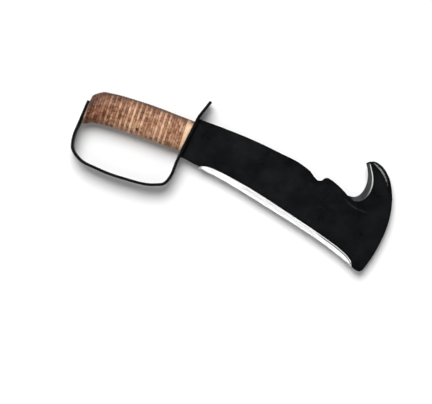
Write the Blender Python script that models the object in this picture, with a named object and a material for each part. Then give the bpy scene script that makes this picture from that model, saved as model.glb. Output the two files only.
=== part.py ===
"""A brush-clearing hook knife: a broad blade with a hook at its end, a D-shaped knuckle guard bent
from one strap, and a grip of leather washers stacked on the blade's tang.

The tool lies on its side. +X runs along the grip towards the hook, +Y from the cutting edge
towards the spine, and +Z through the blade's thickness. Outlines are written on the grip's own
axis: X is zero a few millimetres behind the guard and Y is zero at the middle of the grip. One
empty then carries everything to the part's origin, which is under the middle of its box.
"""

import math

import bmesh
import bpy
import numpy as np
from mathutils import Vector

MM = 0.001
GAP = 0.3 * MM  # between pieces that touch on the real tool

# Blade
BLADE_THICKNESS = 3.2 * MM
EDGE_LAND = 0.3 * MM  # what is left of the thickness at a ground edge
SWAGE_LAND = 1.4 * MM  # the same along the thinned back of the hook
CUT_STEPS, BACK_STEPS, HOOK_STEPS, SPINE_STEPS = 36, 34, 26, 18
SHORT_STEPS = 6  # on each short round stretch

RICASSO = ((10, -30.2), (20, -32.2), (29.5, -33.6))
CUTTING_EDGE = (
    (29.5, -36), (50, -38.5), (80, -44.3), (110, -51.5), (150, -61.6), (190, -72),
    (220, -80.8), (245, -89.9), (265, -98.2),
)
CUTTING_GRIND = (
    (29.5, -33.6), (34, -31.3), (40, -30.2), (60, -31.6), (80, -35), (110, -41.3),
    (150, -52), (190, -63), (220, -72), (245, -80.8), (257, -87), (262.5, -92), (265, -98.2),
)
BEAK = ((265, -98.2), (271, -100.6), (277, -101), (280.6, -98))
BACK = ((280.6, -98), (286.5, -80), (291, -60), (293.6, -40), (294, -27), (292.6, -11), (289.5, 4))
HOOK_BACK = ((289.5, 4), (284.5, 17), (276, 31), (266, 40.5), (256, 44.9), (250, 45.2), (246.5, 44))
HOOK_SWAGE = (
    (289.5, 4), (280.5, 15.5), (272.5, 27.5), (263, 36.6), (254, 41.6), (249.5, 43.4), (246.5, 44),
)
HOOK_NOSE = ((246.5, 44), (243.2, 42.3), (241, 39.5))
HOOK_NOSE_GRIND = ((246.5, 44), (246.3, 42.8), (246.4, 41.5))
HOOK_EDGE = (
    (241, 39.5), (244.8, 33.5), (248.6, 24), (250, 13), (248.4, 2.5), (243.4, -5.6),
    (237, -8.6), (231, -8.9),
)
HOOK_GRIND = (
    (246.4, 41.5), (250.6, 34.5), (256, 24.5), (258.9, 12), (257.4, 0), (251.6, -9.6),
    (241, -13.4), (231, -8.9),
)
HUMP = ((231, -8.9), (224, -4.7), (212, 1.1), (203, 4.2), (197.5, 5), (194, 3))
NOTCH = ((194, 3), (191.5, -0.4), (187.5, -2), (181, 0.5))
SPINE = ((181, 0.5), (174.3, 5.7), (160, 11.4), (125, 17.6), (95, 21.8), (50, 25.4), (14, 26.9))

# Tang, inside the grip
TANG_FRONT_HEIGHT = 25 * MM
TONGUE_HEIGHT = 8 * MM
TONGUE_Y = -8 * MM
TONGUE_START_X = -128 * MM
# The tongue's peened end, as ovals: (rise over the strap, half height, half width)
HEAD_OVALS = ((-1.8 * MM, 4.2 * MM, 1.8 * MM), (0, 5.4 * MM, 3 * MM), (0.4 * MM, 4.4 * MM, 2.2 * MM))
HEAD_SEGMENTS = 16
COUNTERSINK_OPENS = 1 * MM  # how far its cutter reaches, and widens, outside the strap
CUTTER_REACH = 15 * MM  # how far the tang's clearance runs on past both ends

# Knuckle guard
STRAP_THICKNESS = 3.8 * MM
STRAP_WIDTH = 22 * MM
STRAP_CHAMFER = 0.9 * MM
STRAP_END_ROUND = 7 * MM
BOW_STEPS = 44
SPUR_TIP = (18, 54.1)
FRONT_LEG = ((8.5, 29), (-0.9, -35))
BOW = (
    (-0.9, -35), (-3.1, -59), (-7.6, -69.3), (-20, -75.3), (-60, -80), (-100, -78.5),
    (-126.5, -73.2), (-138.6, -63.4), (-142.3, -48), (-140.9, -28),
)
REAR_LEG = ((-140.9, -28), (-138.1, 5))

# Grip
WASHER_COUNT = 38
WASHER_PITCH = 3.45 * MM
FIRST_WASHER_X = -4 * MM
WASHER_CHAMFER = 0.5 * MM
WASHER_RIDGE = 0.2 * MM  # every other washer stands this much prouder
WASHER_SEGMENTS = 20
OVAL_POWER = 2.3  # 2 is an ellipse; more is squarer
GRIP_TOP = (
    (-139, 8), (-136, 12.5), (-130, 17.8), (-123, 21.8), (-110, 23.8), (-80, 25.2),
    (-50, 25), (-20, 23.4), (6, 22),
)
GRIP_UNDERSIDE = (
    (-139, -26.4), (-133, -26), (-127, -22.6), (-118, -20.8), (-100, -20), (-60, -20.2),
    (-20, -21.4), (6, -22),
)
GRIP_HALF_THICKNESS = ((-139, 11.6), (-125, 13), (-70, 14), (-20, 12.8), (6, 12.2))
DARK_BUTT_WASHERS = range(28, 39)  # the third of the grip that use has darkened

COAT_BLACK = (0.012, 0.013, 0.014)
GROUND_STEEL = (0.62, 0.63, 0.65)
STRAP_BLACK = (0.01, 0.01, 0.011)
LEATHER_LIGHT = (0.52, 0.31, 0.19)
LEATHER_DARK = (0.30, 0.155, 0.085)
LEATHER_WEDGE = (0.60, 0.40, 0.26)


def clear_scene():
    for obj in list(bpy.data.objects):
        bpy.data.objects.remove(obj, do_unlink=True)


def material(name, color, roughness, metallic):
    made = bpy.data.materials.new(name)
    made.use_nodes = True
    shader = made.node_tree.nodes["Principled BSDF"]
    shader.inputs["Base Color"].default_value = (*color, 1)
    shader.inputs["Roughness"].default_value = roughness
    shader.inputs["Metallic"].default_value = metallic
    made.diffuse_color = (*color, 1)
    return made


def curve_through(points, steps, start=None, end=None):
    """Evenly spaced points, in metres, on a smooth curve through points given in millimetres.
    start and end are directions in which it leaves the first point and reaches the last."""
    keys = np.array(points, float) * MM
    chords = np.diff(keys, axis=0)
    spans = np.linalg.norm(chords, axis=1)
    slopes = chords / spans[:, None]
    tangents = np.empty_like(keys)
    weight = (spans[:-1] / (spans[:-1] + spans[1:]))[:, None]
    tangents[1:-1] = slopes[:-1] * (1 - weight) + slopes[1:] * weight
    tangents[0] = slopes[0] if start is None else start
    tangents[-1] = slopes[-1] if end is None else end
    fine = [keys[0]]
    for i, span in enumerate(spans):
        for t in np.linspace(0, 1, 25)[1:]:
            fine.append(
                (2 * t**3 - 3 * t**2 + 1) * keys[i]
                + (t**3 - 2 * t**2 + t) * span * tangents[i]
                + (3 * t**2 - 2 * t**3) * keys[i + 1]
                + (t**3 - t**2) * span * tangents[i + 1]
            )
    fine = np.array(fine)
    travelled = np.concatenate([[0], np.cumsum(np.linalg.norm(np.diff(fine, axis=0), axis=1))])
    even = np.linspace(0, travelled[-1], steps + 1)
    return np.column_stack([np.interp(even, travelled, fine[:, k]) for k in (0, 1)])


def profile_at(points, x):
    """The height at x of the smooth curve through points that run along X."""
    curve = curve_through(points, 200)
    return float(np.interp(x, curve[:, 0], curve[:, 1]))


def direction_of(leg):
    """The unit vector along a straight leg of the strap."""
    run = np.subtract(leg[1], leg[0])
    return run / np.linalg.norm(run)


def leg_face_x(leg, y, outwards):
    """X at height y of the plane one GAP off a leg's face, on the +X side if outwards is 1."""
    (x0, y0), (x1, y1) = leg
    slope = (x1 - x0) / (y1 - y0)
    offset = (STRAP_THICKNESS / 2 + GAP) * math.hypot(1, slope)
    return x0 * MM + (y - y0 * MM) * slope + outwards * offset


def add_object(name, bm, materials, holder, place=(0, 0, 0)):
    """Turns a bmesh in world-sized coordinates around place into a smooth-shaded object."""
    bmesh.ops.recalc_face_normals(bm, faces=bm.faces)
    mesh = bpy.data.meshes.new(name)
    bm.to_mesh(mesh)
    bm.free()
    for made in materials:
        mesh.materials.append(made)
    mesh.shade_smooth()
    mesh.set_sharp_from_angle(angle=math.radians(30))
    obj = bpy.data.objects.new(name, mesh)
    obj.location = place
    obj.parent = holder
    bpy.context.scene.collection.objects.link(obj)
    return obj


def boolean(obj, cutter, operation):
    modifier = obj.modifiers.new(operation.lower(), "BOOLEAN")
    modifier.operation = operation
    modifier.object = cutter
    modifier.solver = "EXACT"


def hide_helper(obj):
    obj.hide_render = True
    obj.display_type = "WIRE"


def loft(bm, rings):
    """Joins rings with the same number of points into one closed body with flat ends."""
    loops = [[bm.verts.new(point) for point in ring] for ring in rings]
    for near, far in zip(loops, loops[1:]):
        for i in range(len(near)):
            j = (i + 1) % len(near)
            bm.faces.new((near[i], near[j], far[j], far[i]))
    bm.faces.new(loops[0])
    bm.faces.new(loops[-1])


def tang_outline(rear_x, grow=0.0):
    """(lower points, upper points) of the tang and its tongue, grown by a clearance. The lower
    ones run forwards to the blade's shoulder, and the upper ones back from it."""
    half = TANG_FRONT_HEIGHT / 2 + grow
    tongue = TONGUE_HEIGHT / 2 + grow
    lower = [
        (rear_x, TONGUE_Y - tongue),
        (TONGUE_START_X, TONGUE_Y - tongue),
        (leg_face_x(FRONT_LEG, -half, 1), -half),
    ]
    upper = [
        (leg_face_x(FRONT_LEG, half, 1), half),
        (TONGUE_START_X, TONGUE_Y + tongue),
        (rear_x, TONGUE_Y + tongue),
    ]
    return lower, upper


def blade_stations():
    """The outline, anticlockwise: for each point its edge, its grind line and half its land."""
    full = BLADE_THICKNESS / 2
    stations = []

    def straight(points):
        stations.extend((point, point, full) for point in points)

    def stretch(outer, inner, steps, land):
        edge = curve_through(outer, steps)
        grind = edge if inner is None else curve_through(inner, steps)
        for i, (a, b) in enumerate(zip(edge, grind)):
            runs_out = i in (0, steps) and np.allclose(a, b, atol=1e-6)
            stations.append((tuple(a), tuple(b), full if inner is None or runs_out else land / 2))

    tongue_end = leg_face_x(REAR_LEG, TONGUE_Y, -1) + GAP
    lower_tang, upper_tang = tang_outline(tongue_end)
    shoulder_low = RICASSO[0][1] * MM + 1 * MM
    shoulder_high = SPINE[-1][1] * MM
    straight(lower_tang)
    straight([(leg_face_x(FRONT_LEG, shoulder_low, 1), shoulder_low)])
    stretch(RICASSO, None, SHORT_STEPS // 2, 0)
    stretch(CUTTING_EDGE, CUTTING_GRIND, CUT_STEPS, EDGE_LAND)
    stretch(BEAK, None, SHORT_STEPS, 0)
    stretch(BACK, None, BACK_STEPS // 2, 0)
    stretch(HOOK_BACK, HOOK_SWAGE, BACK_STEPS // 2, SWAGE_LAND)
    stretch(HOOK_NOSE, HOOK_NOSE_GRIND, SHORT_STEPS // 2, EDGE_LAND)
    stretch(HOOK_EDGE, HOOK_GRIND, HOOK_STEPS, EDGE_LAND)
    stretch(HUMP, None, 2 * SHORT_STEPS, 0)
    stretch(NOTCH, None, SHORT_STEPS, 0)
    stretch(SPINE, None, SPINE_STEPS, 0)
    straight([(leg_face_x(FRONT_LEG, shoulder_high, 1), shoulder_high)])
    straight(upper_tang)
    return stations


def make_blade(coat, ground, holder):
    """One plate with both faces flat and its ground edges sloping down to a narrow land."""
    full = BLADE_THICKNESS / 2
    bm = bmesh.new()
    columns = []
    for edge, grind, land in blade_stations():
        levels = ((grind, full), (edge, land), (edge, -land), (grind, -full))
        columns.append([bm.verts.new((*place, z)) for place, z in levels])
    for near, far in zip(columns, columns[1:] + columns[:1]):
        for level in range(3):
            face = bm.faces.new((near[level], near[level + 1], far[level + 1], far[level]))
            slopes = abs(near[level].co.z) != abs(near[level + 1].co.z)
            sharpened = far[1].co.z < SWAGE_LAND / 4 or near[1].co.z < SWAGE_LAND / 4
            face.material_index = 1 if slopes and sharpened else 0
    bm.faces.new([column[0] for column in columns])
    bm.faces.new([column[3] for column in columns])
    bmesh.ops.remove_doubles(bm, verts=bm.verts, dist=0.001 * MM)
    blade = add_object("blade", bm, (coat, ground), holder)
    boolean(blade, make_tang_head("tang_head", HEAD_OVALS, coat, holder), "UNION")


def make_tang_head(name, ovals, coat, holder):
    """A flared oval plug in the rear leg's outer face: the tongue's end, hammered out flush."""
    up = Vector((*direction_of(REAR_LEG), 0))
    out = Vector((-up.y, up.x, 0))
    foot = Vector((leg_face_x(REAR_LEG, TONGUE_Y, -1), TONGUE_Y, 0)) - out * GAP
    rings = []
    for rise, half_height, half_width in ovals:
        ring = []
        for i in range(HEAD_SEGMENTS):
            turn = 2 * math.pi * i / HEAD_SEGMENTS
            along = up * (half_height * math.cos(turn))
            across = Vector((0, 0, half_width * math.sin(turn)))
            ring.append(foot + out * rise + along + across)
        rings.append(ring)
    bm = bmesh.new()
    loft(bm, rings)
    head = add_object(name, bm, (coat,), holder)
    hide_helper(head)
    return head


def make_countersink(coat, holder):
    """A cutter one GAP larger than the peened head, open to the outside."""
    deep, flush = HEAD_OVALS[:2]
    flare = GAP + COUNTERSINK_OPENS
    ovals = (
        (deep[0] - GAP, deep[1] + GAP, deep[2] + GAP),
        (flush[0], flush[1] + GAP, flush[2] + GAP),
        (flush[0] + COUNTERSINK_OPENS, flush[1] + flare, flush[2] + flare),
    )
    return make_tang_head("countersink", ovals, coat, holder)


def make_tang_clearance(coat, holder):
    """A cutter one GAP larger than the tang all round, for the washers and the strap's slots."""
    lower, upper = tang_outline(REAR_LEG[0][0] * MM - CUTTER_REACH, GAP)
    ahead = [(x + CUTTER_REACH, y) for x, y in (lower[-1], upper[0])]
    half = BLADE_THICKNESS / 2 + GAP
    bm = bmesh.new()
    loft(bm, [[(x, y, z) for x, y in lower + ahead + upper] for z in (-half, half)])
    cutter = add_object("tang_clearance", bm, (coat,), holder)
    hide_helper(cutter)
    return cutter


def strap_path():
    """The strap's middle line from the spur's tip to the rear end."""
    spur = curve_through((SPUR_TIP, FRONT_LEG[0]), 4)
    leg = curve_through(FRONT_LEG, 2)
    bow = curve_through(BOW, BOW_STEPS, direction_of(FRONT_LEG), direction_of(REAR_LEG))
    rear = curve_through(REAR_LEG, 4)
    return np.vstack([spur, leg[1:], bow[1:], rear[1:]])


def with_round_ends(path):
    """Adds points near both ends, where the strap narrows to its rounded corners."""
    shares = (0.04, 0.16, 0.4, 0.72, 1)

    def end(tip, inside):
        run = (inside - tip) / np.linalg.norm(inside - tip)
        return [tip] + [tip + run * STRAP_END_ROUND * share for share in shares]

    first = end(path[0], path[1])
    last = end(path[-1], path[-2])[::-1]
    middle = [
        point
        for point in path[1:-1]
        if min(np.linalg.norm(point - path[0]), np.linalg.norm(point - path[-1])) > STRAP_END_ROUND
    ]
    return np.array(first + middle + last)


def strap_half_width(distance):
    """Half the strap's width at a distance from its nearer end, whose corners are round."""
    if distance >= STRAP_END_ROUND:
        return STRAP_WIDTH / 2
    left = 1 - distance / STRAP_END_ROUND
    return STRAP_WIDTH / 2 - STRAP_END_ROUND * (1 - math.sqrt(1 - left**2))


def make_knuckle_guard(finish, cutter, countersink, holder):
    """One flat strap swept along its middle line, with chamfered edges and two slots."""
    path = with_round_ends(strap_path())
    steps = np.linalg.norm(np.diff(path, axis=0), axis=1)
    travelled = np.concatenate([[0], np.cumsum(steps)])
    thick = STRAP_THICKNESS / 2
    rings = []
    for i, point in enumerate(path):
        back = path[i] - path[i - 1] if i else path[1] - path[0]
        ahead = path[i + 1] - path[i] if i + 1 < len(path) else back
        run = back / np.linalg.norm(back) + ahead / np.linalg.norm(ahead)
        run /= np.linalg.norm(run)
        side = np.array([-run[1], run[0]])
        wide = strap_half_width(min(travelled[i], travelled[-1] - travelled[i]))
        corner = STRAP_CHAMFER
        section = (
            (-thick, wide - corner), (-thick + corner, wide), (thick - corner, wide),
            (thick, wide - corner), (thick, corner - wide), (thick - corner, -wide),
            (corner - thick, -wide), (-thick, corner - wide),
        )
        rings.append([(*(point + side * offset), z) for offset, z in section])
    bm = bmesh.new()
    loft(bm, rings)
    guard = add_object("knuckle_guard", bm, (finish,), holder)
    boolean(guard, cutter, "DIFFERENCE")
    boolean(guard, countersink, "DIFFERENCE")


def oval(x, proud, inset):
    """(Y, Z) points round the grip's section at x."""
    top = profile_at(GRIP_TOP, x) + proud - inset
    under = profile_at(GRIP_UNDERSIDE, x) - proud + inset
    thick = profile_at(GRIP_HALF_THICKNESS, x) + proud - inset
    middle = (top + under) / 2
    points = []
    for i in range(WASHER_SEGMENTS):
        turn = 2 * math.pi * i / WASHER_SEGMENTS
        c = math.copysign(abs(math.cos(turn)) ** (2 / OVAL_POWER), math.cos(turn))
        s = math.copysign(abs(math.sin(turn)) ** (2 / OVAL_POWER), math.sin(turn))
        points.append((middle + (top - middle) * c, thick * s))
    return points


def make_washer(name, finish, cutter, holder, front, rear, proud=0.0):
    """A washer between two faces. front and rear give a face's X at height y."""
    place = Vector(((front(0) + rear(0)) / 2, 0, 0))
    chamfer = WASHER_CHAMFER
    faces = ((rear, chamfer, 0), (rear, 0, chamfer), (front, 0, -chamfer), (front, chamfer, 0))
    bm = bmesh.new()
    rings = []
    for face, inset, shift in faces:
        section = oval(face(0), proud, inset)
        rings.append([Vector((face(y) + shift, y, z)) - place for y, z in section])
    loft(bm, rings)
    washer = add_object(name, bm, (finish,), holder, place)
    boolean(washer, cutter, "DIFFERENCE")


def make_grip(light, dark, wedge, cutter, holder):
    """The stack, from the guard to the butt, closed by a wedge at each leaning leg."""

    def plane(x):
        return lambda y: x

    def against_front_leg(y):
        return leg_face_x(FRONT_LEG, y, -1)

    def against_rear_leg(y):
        return leg_face_x(REAR_LEG, y, 1)

    behind = plane(FIRST_WASHER_X + GAP / 2)
    make_washer("front_wedge_washer", wedge, cutter, holder, against_front_leg, behind)
    for index in range(1, WASHER_COUNT + 1):
        x = FIRST_WASHER_X - (index - 1) * WASHER_PITCH
        front, rear = plane(x - GAP / 2), plane(x - WASHER_PITCH + GAP / 2)
        proud = WASHER_RIDGE if index % 2 else 0.0
        finish = light if index % 2 and index not in DARK_BUTT_WASHERS else dark
        make_washer(f"grip_washer_{index:02d}", finish, cutter, holder, front, rear, proud)
    ahead = plane(FIRST_WASHER_X - WASHER_COUNT * WASHER_PITCH - GAP / 2)
    make_washer("rear_wedge_washer", wedge, cutter, holder, ahead, against_rear_leg)


def place_on_origin(holder):
    """Moves everything so that the part's box stands centred on the origin."""
    bpy.context.view_layer.update()
    graph = bpy.context.evaluated_depsgraph_get()
    corners = []
    for obj in bpy.data.objects:
        if obj.type == "MESH" and not obj.hide_render:
            shown = obj.evaluated_get(graph)
            corners.extend(shown.matrix_world @ Vector(corner) for corner in shown.bound_box)
    low = [min(corner[k] for corner in corners) for k in range(3)]
    high = [max(corner[k] for corner in corners) for k in range(3)]
    holder.location = (-(low[0] + high[0]) / 2, -(low[1] + high[1]) / 2, -low[2])


def main():
    clear_scene()
    coat = material("blade_coat", COAT_BLACK, 0.42, 0.0)
    ground = material("ground_steel", GROUND_STEEL, 0.3, 1.0)
    strap = material("guard_coat", STRAP_BLACK, 0.5, 0.0)
    light = material("leather_light", LEATHER_LIGHT, 0.6, 0.0)
    dark = material("leather_dark", LEATHER_DARK, 0.55, 0.0)
    wedge = material("leather_wedge", LEATHER_WEDGE, 0.65, 0.0)
    holder = bpy.data.objects.new("hook_knife", None)
    bpy.context.scene.collection.objects.link(holder)
    cutter = make_tang_clearance(coat, holder)
    make_blade(coat, ground, holder)
    make_knuckle_guard(strap, cutter, make_countersink(coat, holder), holder)
    make_grip(light, dark, wedge, cutter, holder)
    place_on_origin(holder)


main()
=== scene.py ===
"""The finished look of the brush-clearing hook knife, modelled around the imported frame.

Outlines are written in millimetres on the grip's own axis: X is zero a few millimetres behind the
guard and grows towards the hook, and Y is zero at the middle of the grip and grows towards the
spine. tool_origin() finds where that point stands in the frame, and every piece is placed by it.
"""

import math
from collections import namedtuple

import bmesh
import bpy
import numpy as np
from mathutils import Matrix, Vector, geometry, noise


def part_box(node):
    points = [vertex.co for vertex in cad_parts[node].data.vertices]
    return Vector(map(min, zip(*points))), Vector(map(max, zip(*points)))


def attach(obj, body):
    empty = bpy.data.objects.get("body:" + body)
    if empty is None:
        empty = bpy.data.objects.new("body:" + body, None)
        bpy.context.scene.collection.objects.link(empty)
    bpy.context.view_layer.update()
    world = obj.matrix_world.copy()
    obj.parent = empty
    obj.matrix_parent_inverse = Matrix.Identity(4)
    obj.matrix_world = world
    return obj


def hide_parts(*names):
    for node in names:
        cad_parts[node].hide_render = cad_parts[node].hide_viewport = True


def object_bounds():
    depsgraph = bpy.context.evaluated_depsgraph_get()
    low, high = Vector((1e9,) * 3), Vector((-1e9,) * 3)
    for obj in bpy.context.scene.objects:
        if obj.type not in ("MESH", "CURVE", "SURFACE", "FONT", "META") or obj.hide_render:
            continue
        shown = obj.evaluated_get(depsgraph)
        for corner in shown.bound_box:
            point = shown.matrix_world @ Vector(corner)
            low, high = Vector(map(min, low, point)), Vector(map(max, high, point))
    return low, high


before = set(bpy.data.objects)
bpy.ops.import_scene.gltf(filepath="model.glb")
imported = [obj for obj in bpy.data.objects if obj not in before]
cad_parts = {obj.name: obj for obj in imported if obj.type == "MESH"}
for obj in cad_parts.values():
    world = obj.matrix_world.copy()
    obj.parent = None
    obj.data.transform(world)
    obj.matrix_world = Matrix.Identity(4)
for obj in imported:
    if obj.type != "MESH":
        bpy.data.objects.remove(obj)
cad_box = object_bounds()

MM = 0.001
TOUCH = 0.05 * MM  # between pieces that touch

# Blade
BLADE_THICKNESS = 3.2 * MM
ARRIS = 0.35 * MM  # the rounding of every edge that isn't ground
CUTTING_LAND, HOOK_LAND, SWAGE_LAND = 0.12 * MM, 0.2 * MM, 1.4 * MM
OUTLINE_STEP = 0.9 * MM
SPAN_STEPS = 24  # fine steps between two of a curve's own points
HALF_LEVELS = 10  # points across a bevel or an arris, on each face
COLUMN_SIZE = 2 * HALF_LEVELS
FLAT_GRID = 4 * MM  # spacing of the points inside the blade's flats
FLAT_GRID_ROWS = 0.87 * FLAT_GRID  # and of their rows, for triangles with nearly equal sides
FLAT_GRID_MARGIN = 3.2 * MM  # how far they stay from the edge
EDGE_ROWS = (0.9 * MM, 2.2 * MM)  # how far in two closer rows of points run along it
FLAT_WAVE = 0.025 * MM  # how far the flats stray from a true plane
RIM_WIDTH = 3.4 * MM  # the coat is painted blacker this near to an edge

RICASSO = ((10, -30.2), (20, -32.2), (29.5, -33.6))
CUTTING_EDGE = (
    (29.5, -36), (50, -38.5), (80, -44.3), (110, -51.5), (150, -61.6), (190, -72),
    (220, -80.8), (245, -89.9), (265, -98.2),
)
CUTTING_GRIND = (
    (29.5, -33.6), (34, -31.3), (40, -30.2), (60, -31.6), (80, -35), (110, -41.3),
    (150, -52), (190, -63), (220, -72), (245, -80.8), (257, -87), (262.5, -92), (265, -98.2),
)
BEAK = ((265, -98.2), (271, -100.6), (277, -101), (280.6, -98))
BACK = ((280.6, -98), (286.5, -80), (291, -60), (293.6, -40), (294, -27), (292.6, -11), (289.5, 4))
HOOK_BACK = ((289.5, 4), (284.5, 17), (276, 31), (266, 40.5), (256, 44.9), (250, 45.2), (246.5, 44))
HOOK_SWAGE = (
    (289.5, 4), (279.6, 15), (271.5, 26.8), (262.2, 35.6), (253.4, 40.7), (249.3, 43), (246.5, 44),
)
HOOK_NOSE = ((246.5, 44), (243.2, 42.3), (241, 39.5))
HOOK_NOSE_GRIND = ((246.5, 44), (246.3, 42.8), (246.4, 41.5))
HOOK_EDGE = (
    (241, 39.5), (244.8, 33.5), (248.6, 24), (250, 13), (248.4, 2.5), (243.4, -5.6),
    (237, -8.6), (231, -8.9),
)
HOOK_GRIND = (
    (246.4, 41.5), (250.6, 34.5), (256, 24.5), (258.9, 12), (257.4, 0), (251.6, -9.6),
    (241, -13.4), (231, -8.9),
)
HUMP = ((231, -8.9), (224, -4.7), (212, 1.1), (203, 4.2), (197.5, 5), (194, 3))
NOTCH = ((194, 3), (191.5, -0.4), (187.5, -2), (181, 0.5))
SPINE = ((181, 0.5), (174.3, 5.7), (160, 11.4), (125, 17.6), (95, 21.8), (50, 25.4), (14, 26.9))

# Across a bevel, from the flat to the edge: (share of its width, share of its drop)
PLAIN_LEVELS = tuple(
    (math.sin(turn), 1 - math.cos(turn))
    for turn in (math.radians(90 * k / (HALF_LEVELS - 1)) for k in range(HALF_LEVELS))
)
CUTTING_LEVELS = (
    (0, 0), (0.07, 0.05), (0.17, 0.14), (0.21, 0.175), (0.34, 0.295), (0.38, 0.33),
    (0.62, 0.535), (0.8, 0.685), (0.93, 0.87), (1, 1),
)
HOOK_LEVELS = (
    (0, 0), (0.03, 0.015), (0.1, 0.055), (0.19, 0.11), (0.25, 0.165), (0.45, 0.365),
    (0.7, 0.615), (0.9, 0.815), (0.97, 0.95), (1, 1),
)
SWAGE_LEVELS = (
    (0, 0), (0.08, 0.05), (0.18, 0.125), (0.3, 0.225), (0.42, 0.33), (0.56, 0.46),
    (0.72, 0.61), (0.88, 0.77), (0.96, 0.88), (1, 1),
)
LEVELS = {
    "plain": PLAIN_LEVELS, "cutting": CUTTING_LEVELS, "nose": HOOK_LEVELS, "hook": HOOK_LEVELS,
    "swage": SWAGE_LEVELS,
}
LANDS = {"cutting": CUTTING_LAND, "nose": HOOK_LAND, "hook": HOOK_LAND, "swage": SWAGE_LAND}

# A furrow in the cutting bevel near the toe, where one pass of the belt left a flatter facet
FURROW_LEVEL, FURROW_RISE = 4, 0.07
FURROW_FROM, FURROW_FULL = 196, 216  # X where it begins and where it is at its full depth
FURROW_ACROSS = (0.17, 0.21, 0.34, 0.38)  # where its shade rises and falls across the bevel

# Wear, as shares of the way along a stretch of the outline or across its bevel
SWAGE_RUBBING, ARRIS_RUBBING = 0.85, 0.16  # how far the coat is worn through, at most
SWAGE_ACROSS, ARRIS_ACROSS = (0, 0.08, 0.34, 0.66), (0.1, 0.5, 0.8, 1.2)
STREAK_ALONG = (-0.1, 0.9, 0.3, 1.53)  # the streak on the hook's back, from its foot to its tip
GLEAM_ALONG = (0.0, 0.04, 0.08, 0.7)  # the polished line inside the hook, from its tip down
GLEAM_ACROSS = (0.17, 0.25)  # where that line ends, away from the flat
SCUFF_ALONG = (0.62, 0.2)  # where the hook's bevel turns from dark to the paler grey of its tip
SCUFF_LEAST, SCUFF_MOST = 0.12, 0.6

# A faint arc across both flats, below the hook: a forging shoulder, drawn only as a painted
# highlight
FORGING_LINE_CENTRE, FORGING_LINE_RADIUS = (257.2, 31.3), 54.3
FORGING_LINE_X = (224, 269)

# Tang, inside the grip
TANG_FRONT_HEIGHT = 25 * MM
TONGUE_HEIGHT = 8 * MM
TONGUE_Y = -8 * MM
TONGUE_START_X = -128 * MM
# The tongue's peened end, as ovals: (rise over the strap, half height, half width)
HEAD_OVALS = tuple(
    (rise * MM, high * MM, wide * MM)
    for rise, high, wide in (
        (-1.8, 4.1, 1.7), (-1, 4.6, 2.2), (-0.2, 5.2, 2.8), (0.08, 5.3, 2.9), (0.24, 5, 2.7),
        (0.34, 4.3, 2.1), (0.39, 3, 1.3), (0.4, 1.3, 0.5),
    )
)
HEAD_SEGMENTS = 40
HEAD_DENTS = 0.12 * MM
CUTTER_REACH = 15 * MM  # how far the slots' cutter runs on past the strap's legs

# Knuckle guard
STRAP_THICKNESS = 3.8 * MM
STRAP_WIDTH = 22 * MM
STRAP_CORNER = 0.9 * MM
STRAP_END_ROUND = 7 * MM
STRAP_STEP = 1.1 * MM
STRAP_BEND = 5 * MM  # length over which its kinks are rounded
STRAP_WAVE = 0.06 * MM
STRAP_RUBBING = 0.3  # how far the coat is worn through along its corners
STRAP_END_RUBBING = 0.1  # and how much further at its two ends
CORNER_POINTS = 6
# Places near either end, in millimetres from it, close enough to draw its round corners
STRAP_END_PLACES = (0, 0.04, 0.12, 0.25, 0.42, 0.65, 0.9, 1.3, 1.9, 2.7, 3.6, 4.7, 5.9)
SPUR_TIP = (18, 54.1)
FRONT_LEG = ((8.5, 29), (-0.9, -35))
BOW = (
    (-0.9, -35), (-3.1, -59), (-7.6, -69.3), (-20, -75.3), (-60, -80), (-100, -78.5),
    (-126.5, -73.2), (-138.6, -63.4), (-142.3, -48), (-140.9, -28),
)
REAR_LEG = ((-140.9, -28), (-138.1, 5))

# Grip
WASHER_COUNT = 38
WASHER_PITCH = 3.45 * MM
FIRST_WASHER_X = -4 * MM
WASHER_EDGE = 0.55 * MM  # how far a washer's edges are rounded over
WASHER_EDGE_POINTS = 5
WASHER_CROWN = 0.04 * MM  # how far the middle of its rim stands over the rounded edges
WASHER_SEGMENTS = 132
OVAL_POWER = 2.3  # 2 is an ellipse; more is squarer
SLOT_POWER = 9
GRIP_TOP = (
    (-139, 8), (-136, 12.5), (-130, 17.8), (-123, 21.8), (-110, 23.8), (-80, 25.2),
    (-50, 25), (-20, 23.4), (6, 22),
)
GRIP_UNDERSIDE = (
    (-139, -26.4), (-133, -26), (-127, -22.6), (-118, -20.8), (-100, -20), (-60, -20.2),
    (-20, -21.4), (6, -22),
)
GRIP_HALF_THICKNESS = ((-139, 11.6), (-125, 13), (-70, 14), (-20, 12.8), (6, 12.2))
FIRST_BUTT_WASHER = 28  # from here to the butt, all are dark
# How pale each washer is, from the guard to the butt
WASHER_TONES = (
    0.46, 0.5, 0.56, 0.46, 0.5, 0.44, 0.8, 0.44, 0.88, 0.46,
    0.78, 0.5, 0.58, 0.42, 0.58, 0.38, 0.72, 0.34, 0.76, 0.42,
    0.88, 0.36, 0.66, 0.36, 0.62, 0.32, 0.58, 0.26, 0.44, 0.18,
    0.56, 0.08, 0.38, 0.1, 0.08, 0.24, 0.06, 0.04,
)
FRONT_WEDGE_TONE, REAR_WEDGE_TONE = 0.9, 0.16
PROUD = 0.26 * MM  # about how far the palest washers stand over the darkest
SWELL, NICKS = 0.09 * MM, 0.06 * MM  # a rim's unevenness, in long waves and in short ones
CREST_PAINTED_LIGHT = 0.27  # how much paler a washer's crest is painted than the grooves beside it: a painted highlight on the crest, painted shade in the grooves
STREAK_TONE = 0.32  # how much a washer's tone wanders round its rim
STAIN_AT, STAIN_RADIUS = (-65, -12), 1.7  # a dark spot, the same on both faces

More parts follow.
